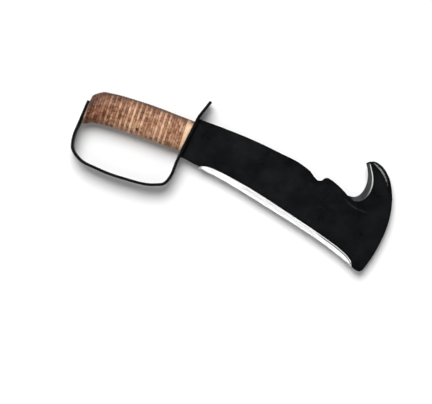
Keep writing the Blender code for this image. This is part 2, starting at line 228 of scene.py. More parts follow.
# Colours
COAT_BLACK, COAT_RUBBED = (0.0023, 0.0026, 0.003), (0.35, 0.35, 0.35)
STRAP_BLACK, STRAP_RUBBED = (0.0014, 0.0014, 0.0016), (0.1, 0.1, 0.105)
SPECK_GREY, SCRATCH_GREY = (0.04, 0.04, 0.043), (0.045, 0.045, 0.048)
# painted highlight along the forging shoulder's arc
FORGING_LINE_HIGHLIGHT = (0.042, 0.044, 0.046)
BRIGHT_STEEL, BRIGHT_STEEL_LINES = (1, 1, 0.995), (0.72, 0.72, 0.72)
DULL_STEEL, DULL_STEEL_LINES = (0.019, 0.019, 0.02), (0.009, 0.009, 0.01)
SCUFFED_STEEL, POLISHED_STEEL = (0.09, 0.09, 0.09), (0.8, 0.8, 0.81)
# Leather, from its darkest tone to its palest: (place on the ramp, colour)
LEATHER_RAMP = (
    (0.0, (0.035, 0.009, 0.003)), (0.1, (0.075, 0.022, 0.008)), (0.28, (0.155, 0.056, 0.024)),
    (0.46, (0.285, 0.137, 0.07)), (0.64, (0.46, 0.26, 0.148)), (0.82, (0.63, 0.392, 0.248)),
    (1.0, (0.76, 0.525, 0.365)),
)
WEDGE_RAMP = (
    (0.1, (0.14, 0.068, 0.043)), (0.32, (0.25, 0.14, 0.095)), (0.6, (0.55, 0.35, 0.215)),
    (0.82, (0.7, 0.48, 0.31)), (1.0, (0.8, 0.6, 0.41)),
)
# The second and third colours paint shade along the grip's back, its top: a soft step and a deep
# one
FLUSH, PAINTED_SHADE_BROWN, DEEP_PAINTED_SHADE_BROWN = (0.42, 0.17, 0.12), (0.085, 0.036, 0.02), (0.03, 0.013, 0.008)
PORE_BROWN, STAIN_BROWN = (0.07, 0.03, 0.018), (0.022, 0.008, 0.005)
FLOOR_WHITE = (0.91, 0.91, 0.91)

# Scratches
SCRATCH_TURNS = (0.3, -0.42, 1.1, -1.25)  # their directions
SCRATCH_LENGTH, SCRATCH_WIDTH = 14 * MM, 0.26 * MM
SCRATCH_BEND = 7 * MM  # how far a scratch strays from a straight line

# Stage
CAMERA_HEIGHT = 3.0
VIEW_WIDTH = 0.579
VIEW_CENTRE = (-0.0092, -0.0485)
VIEW_TURN = math.radians(18)
FLOOR_HALF = 11
ROOM_OVERHEAD = 0.09  # the room's light from straight above; from the horizon it is 1
SUN_STRENGTH, SUN_SPREAD = 3.5, math.radians(42)
SUN_SIDE, SUN_SLOPE = (-0.46, 0.888, 0), math.radians(35.5)  # slopes are from straight above
CARD_STRENGTH, CARD_SIZE, CARD_DISTANCE = 2.2, 0.6, 1.6
CARD_SIDE, CARD_SLOPE = (-0.26, -0.96, 0), math.radians(24)

Station = namedtuple("Station", "edge grind style share after")


# ---- curves and numbers


def curve_through(points, steps, start=None, end=None):
    """Evenly spaced points, in metres, on a smooth curve through points given in millimetres.
    start and end are directions in which it leaves the first point and reaches the last."""
    keys = np.array(points, float) * MM
    chords = np.diff(keys, axis=0)
    spans = np.linalg.norm(chords, axis=1)
    slopes = chords / spans[:, None]
    tangents = np.empty_like(keys)
    weight = (spans[:-1] / (spans[:-1] + spans[1:]))[:, None]
    tangents[1:-1] = slopes[:-1] * (1 - weight) + slopes[1:] * weight
    tangents[0] = slopes[0] if start is None else start
    tangents[-1] = slopes[-1] if end is None else end
    fine = [keys[0]]
    for i, span in enumerate(spans):
        for t in np.linspace(0, 1, SPAN_STEPS + 1)[1:]:
            fine.append(
                (2 * t**3 - 3 * t**2 + 1) * keys[i]
                + (t**3 - 2 * t**2 + t) * span * tangents[i]
                + (3 * t**2 - 2 * t**3) * keys[i + 1]
                + (t**3 - t**2) * span * tangents[i + 1]
            )
    fine = np.array(fine)
    travelled = distance_along(fine)
    even = np.linspace(0, travelled[-1], steps + 1)
    return np.column_stack([np.interp(even, travelled, fine[:, k]) for k in (0, 1)])


def distance_along(points):
    """How far along a line of points each one lies."""
    return np.concatenate([[0], np.cumsum(np.linalg.norm(np.diff(points, axis=0), axis=1))])


def steps_for(points, spacing):
    """How many steps of about that spacing a line of points in millimetres takes."""
    return max(4, round(distance_along(np.array(points, float))[-1] * MM / spacing))


def profile_of(points):
    """A function for the height at x of the smooth curve through points that run along X."""
    curve = curve_through(points, 400)
    return lambda x: float(np.interp(x, curve[:, 0], curve[:, 1]))


def smooth_step(low, high, value):
    """Goes smoothly from 0 at low to 1 at high."""
    t = min(1.0, max(0.0, (value - low) / (high - low)))
    return t * t * (3 - 2 * t)


def window(stops, value):
    """Rises from 0 to 1 over the first two stops and falls back over the last two."""
    first, second, third, last = stops
    return smooth_step(first, second, value) * (1 - smooth_step(third, last, value))


def ripple(x, y, z, per_metre, seed):
    """Smooth noise between -1 and 1, the same on every run."""
    return noise.noise(Vector((x, y, z)) * per_metre + Vector((seed * 7.31, seed * 3.17, seed)))


def unit(vector):
    return np.array(vector, float) / np.linalg.norm(vector)


def direction_of(leg):
    """The unit vector along a straight leg of the strap."""
    return unit(np.subtract(leg[1], leg[0]))


def leg_face_x(leg, y, outwards):
    """X at height y of the plane just off a leg's face, on the +X side if outwards is 1."""
    (x0, y0), (x1, y1) = leg
    slope = (x1 - x0) / (y1 - y0)
    offset = (STRAP_THICKNESS / 2 + TOUCH) * math.hypot(1, slope)
    return x0 * MM + (y - y0 * MM) * slope + outwards * offset


# ---- making meshes into pieces


def mesh_object(name, points, faces, materials, face_materials=None):
    """A new object from points in metres. face_materials numbers each face's material."""
    mesh = bpy.data.meshes.new(name)
    mesh.from_pydata([tuple(map(float, point)) for point in points], [], faces)
    for made in materials:
        mesh.materials.append(made)
    if face_materials is not None:
        mesh.polygons.foreach_set("material_index", face_materials)
    obj = bpy.data.objects.new(name, mesh)
    bpy.context.scene.collection.objects.link(obj)
    return obj


def add_attribute(mesh, name, values):
    """Stores a number or a vector for each point, for the material to read."""
    values = np.array(values, np.float32)
    kind, field = ("FLOAT", "value") if values.ndim == 1 else ("FLOAT_VECTOR", "vector")
    made = mesh.attributes.new(name, kind, "POINT")
    made.data.foreach_set(field, values.ravel())


def shade(mesh, angle, creases=()):
    """Smooth shading, with sharp edges where the surface turns by the angle, and along creases."""
    mesh.update()
    mesh.shade_smooth()
    mesh.set_sharp_from_angle(angle=math.radians(angle))
    for edge in mesh.edges:
        if tuple(sorted(edge.vertices)) in creases:
            edge.use_edge_sharp = True


def cut(obj, cutter, operation="DIFFERENCE"):
    """Applies one exact boolean to obj and throws the cutter away."""
    modifier = obj.modifiers.new("boolean", "BOOLEAN")
    modifier.operation = operation
    modifier.object = cutter
    modifier.solver = "EXACT"
    bpy.context.view_layer.update()
    shown = obj.evaluated_get(bpy.context.evaluated_depsgraph_get())
    result = bpy.data.meshes.new_from_object(shown)
    obj.modifiers.clear()
    obj.data = result
    bpy.data.objects.remove(cutter)


def finish_piece(obj, origin, nodes):
    """Moves a piece from its own drawing to its place and ties it to the frame."""
    obj.data.transform(Matrix.Translation(origin))
    obj.data.name = obj.name
    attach(obj, "root")
    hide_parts(*nodes)


def loft_faces(rings, size, looped=False):
    """Faces that join rings of the same size, numbered one after another. A looped loft joins the
    last ring to the first, and any other has a face at each end."""
    faces = []
    for ring in range(rings if looped else rings - 1):
        low, high = ring * size, (ring + 1) % rings * size
        for i in range(size):
            j = (i + 1) % size
            faces.append((low + i, low + j, high + j, high + i))
    if not looped:
        faces.append(tuple(reversed(range(size))))
        faces.append(tuple(range((rings - 1) * size, rings * size)))
    return faces


def face_outwards(obj):
    """Turns every face of a closed mesh to the outside."""
    bm = bmesh.new()
    bm.from_mesh(obj.data)
    bmesh.ops.recalc_face_normals(bm, faces=bm.faces)
    bm.to_mesh(obj.data)
    bm.free()


# ---- blade


def tang_outline(rear_x, grow=0.0):
    """(lower points, upper points) of the tang and its tongue, grown by a clearance. The lower
    ones run forwards to the blade's shoulder, and the upper ones back from it."""
    lower, upper = [], []
    for line, side in ((lower, -1), (upper, 1)):
        y = TONGUE_Y + side * (TONGUE_HEIGHT / 2 + grow)
        shoulder = side * (TANG_FRONT_HEIGHT / 2 + grow)
        line += [(rear_x, y), (TONGUE_START_X, y), (leg_face_x(FRONT_LEG, shoulder, 1), shoulder)]
    return lower, upper[::-1]


def blade_stations():
    """Points round the blade, anticlockwise, each with its place on the edge, its place on the
    grind line, the style of bevel between them, its share of the stretch it belongs to, and the
    style of the facets that follow it."""
    stations = []

    def straight(points):
        for point in points:
            place = np.array(point, float)
            stations.append(Station(place, place, "plain", 0, "plain"))

    def stretch(outer, inner=None, style="plain", leave_last=False):
        steps = steps_for(outer, OUTLINE_STEP)
        edge = curve_through(outer, steps)
        grind = edge if inner is None else curve_through(inner, steps)
        first = 0
        if np.allclose(stations[-1].edge, edge[0], atol=1e-6):
            stations[-1] = stations[-1]._replace(after=style)
            first = 1
        for i in range(first, steps + 1 - leave_last):
            after = style if i < steps else "plain"
            stations.append(Station(edge[i], grind[i], style, i / steps, after))

    tongue_end = leg_face_x(REAR_LEG, TONGUE_Y, -1) + TOUCH
    lower_tang, upper_tang = tang_outline(tongue_end)
    shoulder_low = RICASSO[0][1] * MM + 1 * MM
    shoulder_high = SPINE[-1][1] * MM
    straight(lower_tang)
    straight([(leg_face_x(FRONT_LEG, shoulder_low, 1), shoulder_low)])
    stretch(RICASSO, leave_last=True)
    stretch(CUTTING_EDGE, CUTTING_GRIND, "cutting")
    stretch(BEAK)
    stretch(BACK)
    stretch(HOOK_BACK, HOOK_SWAGE, "swage")
    stretch(HOOK_NOSE, HOOK_NOSE_GRIND, "nose")
    stretch(HOOK_EDGE, HOOK_GRIND, "hook")
    stretch(HUMP)
    stretch(NOTCH)
    stretch(SPINE)
    straight([(leg_face_x(FRONT_LEG, shoulder_high, 1), shoulder_high)])
    straight(upper_tang)
    return stations


def inward_directions(edge):
    """Unit vectors into the blade at each point of its closed, anticlockwise outline."""
    ahead = np.roll(edge, -1, axis=0) - edge
    ahead /= np.linalg.norm(ahead, axis=1)[:, None]
    along = ahead + np.roll(ahead, 1, axis=0)
    along /= np.linalg.norm(along, axis=1)[:, None]
    return np.column_stack([-along[:, 1], along[:, 0]])


def bevel_column(station, inward):
    """A station's points from the upper flat to the edge: (x, y, z, share of the width)."""
    full = BLADE_THICKNESS / 2
    width = np.linalg.norm(station.grind - station.edge)
    land = LANDS.get(station.style, 0)
    drop = ARRIS if station.style == "plain" else min(full - land / 2, ARRIS + width)
    inner = station.grind + inward * max(0.0, ARRIS - width)
    column = []
    for level, (share, depth) in enumerate(LEVELS[station.style]):
        if station.style == "cutting" and level == FURROW_LEVEL:
            depth -= FURROW_RISE * furrow_depth(station)
        x, y = inner + (station.edge - inner) * share
        column.append((x, y, full - drop * depth, share))
    return column


def rubbed(station, share):
    """How far the coat is worn through at a share of the way across: 0 is whole."""
    if station.style == "swage":
        return SWAGE_RUBBING * window(SWAGE_ACROSS, share) * window(STREAK_ALONG, station.share)
    if station.style == "plain":
        return ARRIS_RUBBING * window(ARRIS_ACROSS, share)
    return 0.0


def polished(station, share):
    """How brightly the bevel is polished. Only a line inside the hook, beside the flat, is."""
    if station.style != "hook":
        return 0.0
    return window(GLEAM_ALONG, station.share) * (1 - smooth_step(*GLEAM_ACROSS, share))


def scuffed(station, share):
    """How far ground steel is greyed: along the hook's bevel, and in the cutting bevel's furrow."""
    if station.style == "hook":
        along = smooth_step(*SCUFF_ALONG, station.share)
        return SCUFF_LEAST + (SCUFF_MOST - SCUFF_LEAST) * along
    if station.style == "cutting":
        return furrow_depth(station) * window(FURROW_ACROSS, share)
    return 0.0


def furrow_depth(station):
    """How deep the furrow is at a station of the cutting bevel, from 0 to 1."""
    return smooth_step(FURROW_FROM, FURROW_FULL, station.edge[0] / MM)


def fill_flat(boundary):
    """Triangles over a flat, with points inside it. Returns (points, triangles); the boundary's
    own points come first, in their order."""
    size = len(boundary)
    ends = np.roll(boundary, -1, axis=0)
    inward = inward_directions(boundary)[::2]
    # Rows along the edge and a grid, each with how near to any part of the edge it may come
    rows = [(boundary[::2] + inward * inset, inset * 0.92) for inset in EDGE_ROWS]
    low, high = boundary.min(0), boundary.max(0)
    grid = [
        (x, y)
        for row, y in enumerate(np.arange(low[1], high[1], FLAT_GRID_ROWS))
        for x in np.arange(low[0] + (row % 2) * FLAT_GRID / 2, high[0], FLAT_GRID)
    ]
    rows.append((np.array(grid), FLAT_GRID_MARGIN))
    kept = [boundary]
    for points, margin in rows:
        inside = points_inside(points, boundary, ends)
        gap = distance_to_line(points, boundary, ends)
        kept.append(points[inside & (gap >= margin)])
    places = np.vstack(kept)
    found = geometry.delaunay_2d_cdt(
        [Vector(point) for point in places], [], [list(range(size))], 1, 1e-8
    )
    triangles = [tuple(found[3][corner][0] for corner in face) for face in found[2]]
    return places, triangles


def points_inside(points, starts, ends):
    """Whether each point lies inside a closed outline, by counting crossings."""
    x, y = points[:, 0][:, None], points[:, 1][:, None]
    spans = (starts[:, 1] > y) != (ends[:, 1] > y)
    rise = np.where(ends[:, 1] == starts[:, 1], 1e-12, ends[:, 1] - starts[:, 1])
    crossing = starts[:, 0] + (y - starts[:, 1]) * (ends[:, 0] - starts[:, 0]) / rise
    return (spans & (x < crossing)).sum(axis=1) % 2 == 1


def distance_to_line(points, starts, ends):
    """How far each point is from the nearest segment."""
    nearest = []
    run = ends - starts
    length = np.maximum((run**2).sum(axis=1), 1e-16)
    for point in points:
        t = np.clip(((point - starts) * run).sum(axis=1) / length, 0, 1)
        nearest.append(np.linalg.norm(starts + run * t[:, None] - point, axis=1).min())
    return np.array(nearest)


class BladeMesh:
    """The blade's points, what its materials read at each of them, and its faces."""

    def __init__(self):
        self.points, self.faces, self.face_materials, self.creases = [], [], [], set()
        self.marks = {"wear": [], "gleam": [], "scuffed": [], "rim": [], "grain": []}

    def add_point(self, point, **marks):
        self.points.append(point)
        for name, values in self.marks.items():
            values.append(marks.get(name, 0.0))
        return len(self.points) - 1

    def add_face(self, corners, material):
        self.faces.append(tuple(corners))
        self.face_materials.append(material)


def sweep_bevels(made, stations):
    """The points from the upper flat round the edge to the lower one, and the faces on them."""
    edge = np.array([station.edge for station in stations])
    for station, into, along in zip(stations, inward_directions(edge), distance_along(edge)):
        column = bevel_column(station, into)
        width = np.linalg.norm(station.grind - station.edge)
        for side, order in ((1, column), (-1, column[::-1])):
            for x, y, z, share in order:
                made.add_point(
                    (x, y, side * z), wear=rubbed(station, share), gleam=polished(station, share),
                    scuffed=scuffed(station, share), rim=1.0, grain=(along, share * width, side),
                )
    ground = {"cutting": 1, "hook": 2}
    last = COLUMN_SIZE - 1
    for i, station in enumerate(stations):
        here, there = i * COLUMN_SIZE, (i + 1) % len(stations) * COLUMN_SIZE
        for level in range(last):
            a, b = here + level, there + level
            lapped = level in (0, last - 1)  # the coat reaches just over the grind line
            made.add_face((a, b, b + 1, a + 1), 0 if lapped else ground.get(station.after, 0))
        for level in (0, last):
            made.creases.add(tuple(sorted((here + level, there + level))))


def add_flat(made, boundary, side):
    """One flat, inside a boundary of point numbers. side is 1 for the upper flat, else -1."""
    outline = np.array([made.points[number][:2] for number in boundary])
    places, triangles = fill_flat(outline)
    inner = places[len(outline) :]
    gap = distance_to_line(inner, outline, np.roll(outline, -1, axis=0))
    numbers = list(boundary)
    for (x, y), depth in zip(inner, gap):
        wave = FLAT_WAVE * ripple(x, y, 0, 38, 1 + side) * smooth_step(0, 8 * MM, depth)
        place = (x, y, side * (BLADE_THICKNESS / 2 + wave))
        rim = 1 - smooth_step(0, RIM_WIDTH, depth)
        numbers.append(made.add_point(place, rim=rim, grain=(x, y, side)))
    for triangle in triangles:
        made.add_face([numbers[corner] for corner in triangle[::side]], 0)


def make_blade(origin, stations, finishes):
    """One plate: bevels and rounded edges swept round the outline, closed by two flats."""
    made = BladeMesh()
    sweep_bevels(made, stations)
    size = len(made.points)
    add_flat(made, range(0, size, COLUMN_SIZE), 1)
    add_flat(made, range(COLUMN_SIZE - 1, size, COLUMN_SIZE), -1)
    blade = mesh_object("blade_with_tang", made.points, made.faces, finishes, made.face_materials)
    for name, values in made.marks.items():
        add_attribute(blade.data, name, values)
    face_outwards(blade)
    shade(blade.data, 40, made.creases)
    cut(blade, make_tang_head("tang_head", HEAD_OVALS, HEAD_DENTS, finishes[0]), "UNION")
    finish_piece(blade, origin, ["blade"])


def make_tang_head(name, ovals, dents, finish):
    """A flared oval plug in the rear leg's outer face: the tongue's end, hammered out flush."""
    up = np.array((*direction_of(REAR_LEG), 0))
    out = np.array((-up[1], up[0], 0))
    foot = np.array((leg_face_x(REAR_LEG, TONGUE_Y, -1), TONGUE_Y, 0)) - out * TOUCH
    points = []
    for ring, (rise, half_height, half_width) in enumerate(ovals):
        for i in range(HEAD_SEGMENTS):
            turn = 2 * math.pi * i / HEAD_SEGMENTS
            c, s = math.cos(turn), math.sin(turn)
            dent = dents * noise.noise(Vector((c * 1.9, s * 1.9, 3 + ring * 0.4)))
            along = up * ((half_height + dent) * c)
            across = np.array((0, 0, (half_width + dent) * s))
            points.append(foot + out * (rise + min(0, dent) * (ring > 3)) + along + across)
    head = mesh_object(name, points, loft_faces(len(ovals), HEAD_SEGMENTS), [finish])
    face_outwards(head)
    return head


# ---- knuckle guard


def strap_path():
    """The strap's middle line from the spur's tip to the rear end, with its kinks rounded."""
    bow_ends = (direction_of(FRONT_LEG), direction_of(REAR_LEG))
    spur = (SPUR_TIP, FRONT_LEG[0])
    parts = [
        curve_through(line, steps_for(line, STRAP_STEP), *ends)
        for line, ends in ((spur, ()), (FRONT_LEG, ()), (BOW, bow_ends), (REAR_LEG, ()))
    ]
    path = np.vstack([parts[0]] + [part[1:] for part in parts[1:]])
    reach = round(STRAP_BEND / STRAP_STEP / 2)
    rounded = path.copy()
    for i in range(reach, len(path) - reach):
        rounded[i] = path[i - reach : i + reach + 1].mean(axis=0)
    return rounded


def strap_stations(path):
    """(place, distance from the nearer end, distance from the spur's tip) along the strap."""
    travelled = distance_along(path)
    total = travelled[-1]
    near = [value * MM for value in STRAP_END_PLACES]
    middle = list(np.arange(STRAP_END_ROUND, total - STRAP_END_ROUND, STRAP_STEP))
    where = near + middle + [total - value for value in reversed(near)]
    places = np.column_stack([np.interp(where, travelled, path[:, k]) for k in (0, 1)])
    return [(place, min(at, total - at), at) for place, at in zip(places, where)]


def strap_section(thick, wide):
    """(across the thickness, along Z) points round a strap's section with round corners."""
    section = []
    for sign_t, sign_w, first in ((1, 1, 0), (-1, 1, 90), (-1, -1, 180), (1, -1, 270)):
        for k in range(CORNER_POINTS):
            turn = math.radians(first + 90 * k / (CORNER_POINTS - 1))
            across = sign_t * (thick - STRAP_CORNER) + STRAP_CORNER * math.cos(turn)
            z = sign_w * (wide - STRAP_CORNER) + STRAP_CORNER * math.sin(turn)
            section.append((across, z))
    return section


def strap_half_width(distance):
    """Half the strap's width at a distance from its nearer end, whose corners are round."""
    if distance >= STRAP_END_ROUND:
        return STRAP_WIDTH / 2
    left = 1 - distance / STRAP_END_ROUND
    return STRAP_WIDTH / 2 - STRAP_END_ROUND * (1 - math.sqrt(1 - left**2))


def make_knuckle_guard(origin, finish):
    """One flat strap swept along its middle line, rubbed on its corners, with two slots."""
    path = strap_stations(strap_path())
    places = np.array([place for place, _, _ in path])
    runs = np.gradient(places, axis=0)
    points, wear, grain = [], [], []
    for (place, from_end, at), run in zip(path, runs):
        run = unit(run)
        side = np.array([-run[1], run[0]])
        inset = 0.0
        if from_end < STRAP_CORNER:
            inset = STRAP_CORNER - math.sqrt(STRAP_CORNER**2 - (STRAP_CORNER - from_end) ** 2)
        thick = STRAP_THICKNESS / 2 - inset
        wide = strap_half_width(from_end) - inset
        for k, (offset, z) in enumerate(strap_section(thick, wide)):
            corner = 1 - abs(2 * (k % CORNER_POINTS) / (CORNER_POINTS - 1) - 1)
            wobble = STRAP_WAVE * ripple(at, z, offset, 70, 5) * (1 - corner)
            x, y = place + side * (offset - math.copysign(abs(wobble), offset))
            points.append((x, y, z))
            wear.append(STRAP_RUBBING * corner + STRAP_END_RUBBING * (from_end < STRAP_CORNER))
            grain.append((at, z, offset))
    ring = 4 * CORNER_POINTS
    guard = mesh_object("guard_strap", points, loft_faces(len(path), ring), [finish])
    add_attribute(guard.data, "wear", wear)
    add_attribute(guard.data, "grain", grain)
    face_outwards(guard)
    cut(guard, make_tang_clearance(finish))
    deep, flush = HEAD_OVALS[0], HEAD_OVALS[3]
    countersink = (
        (deep[0] - TOUCH, deep[1] + 2 * TOUCH, deep[2] + 2 * TOUCH),
        (0, flush[1] + 3 * TOUCH, flush[2] + 3 * TOUCH),
        (1 * MM, flush[1] + 1 * MM, flush[2] + 1 * MM),
    )
    cut(guard, make_tang_head("countersink", countersink, 0, finish))
    shade(guard.data, 30)
    finish_piece(guard, origin, ["knuckle_guard"])


def make_tang_clearance(finish):
    """A cutter a hair larger than the tang all round, for the strap's slots."""
    lower, upper = tang_outline(REAR_LEG[0][0] * MM - CUTTER_REACH, TOUCH)
    ahead = [(x + CUTTER_REACH, y) for x, y in (lower[-1], upper[0])]
    outline = lower + ahead + upper
    half = BLADE_THICKNESS / 2 + TOUCH
    points = [(x, y, z) for z in (-half, half) for x, y in outline]
    cutter = mesh_object("tang_clearance", points, loft_faces(2, len(outline)), [finish])
    face_outwards(cutter)
    return cutter


# ---- leather grip


class GripShape:
    """The grip's section and the tang's slot through it, at any place along the grip."""

    def __init__(self):
        self.top = profile_of(GRIP_TOP)
        self.underside = profile_of(GRIP_UNDERSIDE)
        self.thickness = profile_of(GRIP_HALF_THICKNESS)

    def rim(self, x, turn, offset):
        """(y, z) on the grip's outside at x and an angle from its top, moved out by offset."""
        top, under = self.top(x) + offset, self.underside(x) - offset
        middle = (top + under) / 2
        c, s = squared(turn, OVAL_POWER)
        return middle + (top - middle) * c, (self.thickness(x) + offset) * s

    def slot(self, x, turn):
        """(y, z) on the wall of the slot that the tang passes through."""
        shoulder = leg_face_x(FRONT_LEG, 0, 1)
        share = min(1.0, max(0.0, (shoulder - x) / (shoulder - TONGUE_START_X)))
        half = (TANG_FRONT_HEIGHT * (1 - share) + TONGUE_HEIGHT * share) / 2 + TOUCH
        c, s = squared(turn, SLOT_POWER)
        return TONGUE_Y * share + half * c, (BLADE_THICKNESS / 2 + TOUCH) * s


def squared(turn, power):
    """Cosine and sine on an oval that grows squarer with power."""
    values = (math.cos(turn), math.sin(turn))
    return [math.copysign(abs(value) ** (2 / power), value) for value in values]


def washer_profile():
    """Steps across the rim: (0 at the front face, 1 at the rear one or 0.5 between them, distance
    from that face, inset, how near to the crest)."""
    profile = []
    for k in range(WASHER_EDGE_POINTS):
        turn = math.radians(90 * k / (WASHER_EDGE_POINTS - 1))
        shift, inset = WASHER_EDGE * (1 - math.cos(turn)), WASHER_EDGE * (1 - math.sin(turn))
        profile.append((0, shift, inset, 0.15 * k))
    back = [(1, *rest) for _, *rest in reversed(profile)]
    return profile + [(0.5, 0, -WASHER_CROWN, 1.0)] + back


def make_washer(name, number, tone, front, rear, shape, finish, origin):
    """A leather washer between two faces, with a worn, uneven rim and the tang's slot.
    front and rear give a face's X at height y."""
    size = WASHER_SEGMENTS
    turns = [2 * math.pi * i / size for i in range(size)]
    proud = PROUD * (tone - 0.5)
    points, tones, painted_shading = [], [], []

    def note(turn, crest):
        streak = noise.noise(Vector((math.cos(turn) * 2.6, math.sin(turn) * 2.6, number * 4.7)))
        # the crest painted paler, as a highlight, and the rounded edges darker, as shade in the
        # grooves
        tones.append(tone + STREAK_TONE * streak + CREST_PAINTED_LIGHT * (crest - 0.8))
        # How near the grip's top a point is: it drives painted shade along the top and painted
        # light along the underside
        painted_shading.append(math.cos(turn))

    def slot_ring(face):
        for turn in turns:
            x = face(0)
            y, z = shape.slot(x, turn)
            points.append((face(y), y, z))
            note(turn, 0)

    slot_ring(front)
    for side, shift, inset, crest in washer_profile():
        for turn in turns:
            c, s = math.cos(turn), math.sin(turn)
            swell = noise.noise(Vector((c * 1.7, s * 1.7, number * 5.3)))
            nick = noise.noise(Vector((c * 8.5, s * 8.5, number * 2.9 + side)))
            offset = proud * (0.75 + 0.5 * swell) + SWELL * swell + NICKS * nick - inset
            middle = (front(0) + rear(0)) / 2
            y, z = shape.rim(middle, turn, 0)
            near, far = front(y), rear(y)
            # The thin side of a wedge has less room for rounding
            room = min(1.0, max(0.0, (near - far) / (2.2 * WASHER_EDGE)))
            x = near + (far - near) * side + shift * room * (2 * side - 1)
            y, z = shape.rim(x, turn, offset)
            points.append((x, y, z))
            note(turn, crest)
    slot_ring(rear)
    faces = loft_faces(len(points) // size, size, looped=True)
    washer = mesh_object(name, points, faces, [finish])
    add_attribute(washer.data, "tone", tones)
    add_attribute(washer.data, "painted_shading", painted_shading)
    face_outwards(washer)
    shade(washer.data, 50)
    finish_piece(washer, origin, [name.replace("leather_", "")])


def make_grip(origin, finishes):
    """The stack, from the guard to the butt, closed by a wedge at each leaning leg."""
    shape = GripShape()

    def plane(x):
        return lambda y: x

    def against_front_leg(y):
        return leg_face_x(FRONT_LEG, y, -1)

    def against_rear_leg(y):
        return min(leg_face_x(REAR_LEG, y, 1), butt - TOUCH)

    light, dark, wedge = finishes
    butt = FIRST_WASHER_X - WASHER_COUNT * WASHER_PITCH - TOUCH / 2
    guard_end = plane(FIRST_WASHER_X + TOUCH / 2)
    make_washer(
        "leather_front_wedge_washer", 0, FRONT_WEDGE_TONE, against_front_leg, guard_end, shape,
        wedge, origin,
    )
    for number, tone in enumerate(WASHER_TONES, 1):
        x = FIRST_WASHER_X - (number - 1) * WASHER_PITCH
        front, rear = plane(x - TOUCH / 2), plane(x - WASHER_PITCH + TOUCH / 2)
        pale = number % 2 == 1 and number < FIRST_BUTT_WASHER
        make_washer(
            f"leather_grip_washer_{number:02d}", number, tone, front, rear, shape,
            light if pale else dark, origin,
        )
    make_washer(
        "leather_rear_wedge_washer", WASHER_COUNT + 1, REAR_WEDGE_TONE, plane(butt),
        against_rear_leg, shape, wedge, origin,
    )


# ---- materials


class Shader:
    """A material's nodes, with a short call for each kind that is used here."""

    def __init__(self, name):
        self.material = bpy.data.materials.new(name)
        self.material.use_nodes = True
        self.nodes = self.material.node_tree.nodes
        self.links = self.material.node_tree.links
        self.principled = self.nodes["Principled BSDF"]
        self.place = self.add("TexCoord").outputs["Object"]

    def add(self, kind, inputs=None, **settings):
        made = self.nodes.new("ShaderNode" + kind)
        for key, value in settings.items():
            setattr(made, key, value)
        for key, value in (inputs or {}).items():
            self.put(made.inputs[key], value)
        return made

    def put(self, socket, value):
        if isinstance(value, bpy.types.NodeSocket):
            self.links.new(value, socket)
        else:
            socket.default_value = value

    def set(self, **values):
        for key, value in values.items():
            self.put(self.principled.inputs[key.replace("_", " ")], value)

    def attribute(self, name, field="Fac"):
        return self.add("Attribute", attribute_name=name).outputs[field]

    def noise(self, scale, detail=3.0, roughness=0.5, vector=None, output="Fac"):
        inputs = {
            "Vector": vector or self.place, "Scale": scale, "Detail": detail,
            "Roughness": roughness,
        }
        return self.add("TexNoise", inputs).outputs[output]

    def streaks(self, vector, sizes, detail, roughness=0.5, turn=0.0):
        """Noise whose features have those sizes, in metres, along axes turned about Z."""
        inputs = {"Vector": vector, "Rotation": (0, 0, turn), "Scale": sizes}
        field = self.add("Mapping", inputs, vector_type="TEXTURE").outputs["Vector"]
        return self.noise(1, detail, roughness, field)

    def vector(self, operation, a, b, output="Vector"):
        return self.add("VectorMath", {0: a, 1: b}, operation=operation).outputs[output]

    def distance_from(self, centre):
        """How far each place is from a point, seen from straight above."""
        flat = self.vector("MULTIPLY", self.place, (1, 1, 0))
        return self.vector("DISTANCE", flat, centre, "Value")

    def math(self, operation, a, b=0.0, clamp=False):
        return self.add("Math", {0: a, 1: b}, operation=operation, use_clamp=clamp).outputs[0]

    def plus(self, a, b, clamp=False):
        return self.math("ADD", a, b, clamp)

    def times(self, a, b):
        return self.math("MULTIPLY", a, b)

    def spread(self, value, low, high, to_low=0.0, to_high=1.0):
        """Maps low..high smoothly to to_low..to_high."""
        inputs = {
            "Value": value, "From Min": low, "From Max": high, "To Min": to_low, "To Max": to_high,
        }
        return self.add("MapRange", inputs, interpolation_type="SMOOTHSTEP").outputs["Result"]

    def mix(self, factor, a, b):
        """Blends two colours."""
        made = self.add("Mix", {0: factor}, data_type="RGBA")
        for socket, colour in ((made.inputs[6], a), (made.inputs[7], b)):
            self.put(socket, colour if isinstance(colour, bpy.types.NodeSocket) else (*colour, 1))
        return made.outputs[2]

    def ramp(self, factor, stops):
        made = self.add("ValToRGB", {"Fac": factor})
        elements = made.color_ramp.elements
        while len(elements) < len(stops):
            elements.new(0.5)
        for element, (position, colour) in zip(elements, stops):
            element.position = position
            element.color = (*colour, 1)
        return made.outputs["Color"]

    def bump(self, *heights):
        """Feeds the shader's normal. Each height is (value, depth in metres)."""
        normal = None
        for height, depth in heights:
            inputs = {"Height": height, "Distance": depth, "Strength": 1.0}
            if normal is not None:
                inputs["Normal"] = normal
            normal = self.add("Bump", inputs).outputs["Normal"]
        self.set(Normal=normal)


def scaled(colour, factor):
    return tuple(value * factor for value in colour)


def scratches(shader, surface):
    """Thin, slightly bent scratches in several directions, as a mask. surface gives the places on
    the piece, in which they are drawn across X and Y."""
    drift = shader.noise(60, 1, vector=surface, output="Color")
    bent = shader.vector("ADD", surface, shader.vector("MULTIPLY", drift, (SCRATCH_BEND,) * 3))
    mask = 0.0
    for turn in SCRATCH_TURNS:
        lines = shader.streaks(bent, (SCRATCH_LENGTH, SCRATCH_WIDTH, 1), 2, turn=turn)
        mask = shader.math("MAXIMUM", mask, shader.spread(lines, 0.655, 0.725))
    return shader.times(mask, shader.spread(shader.noise(24, 2), 0.45, 0.62))


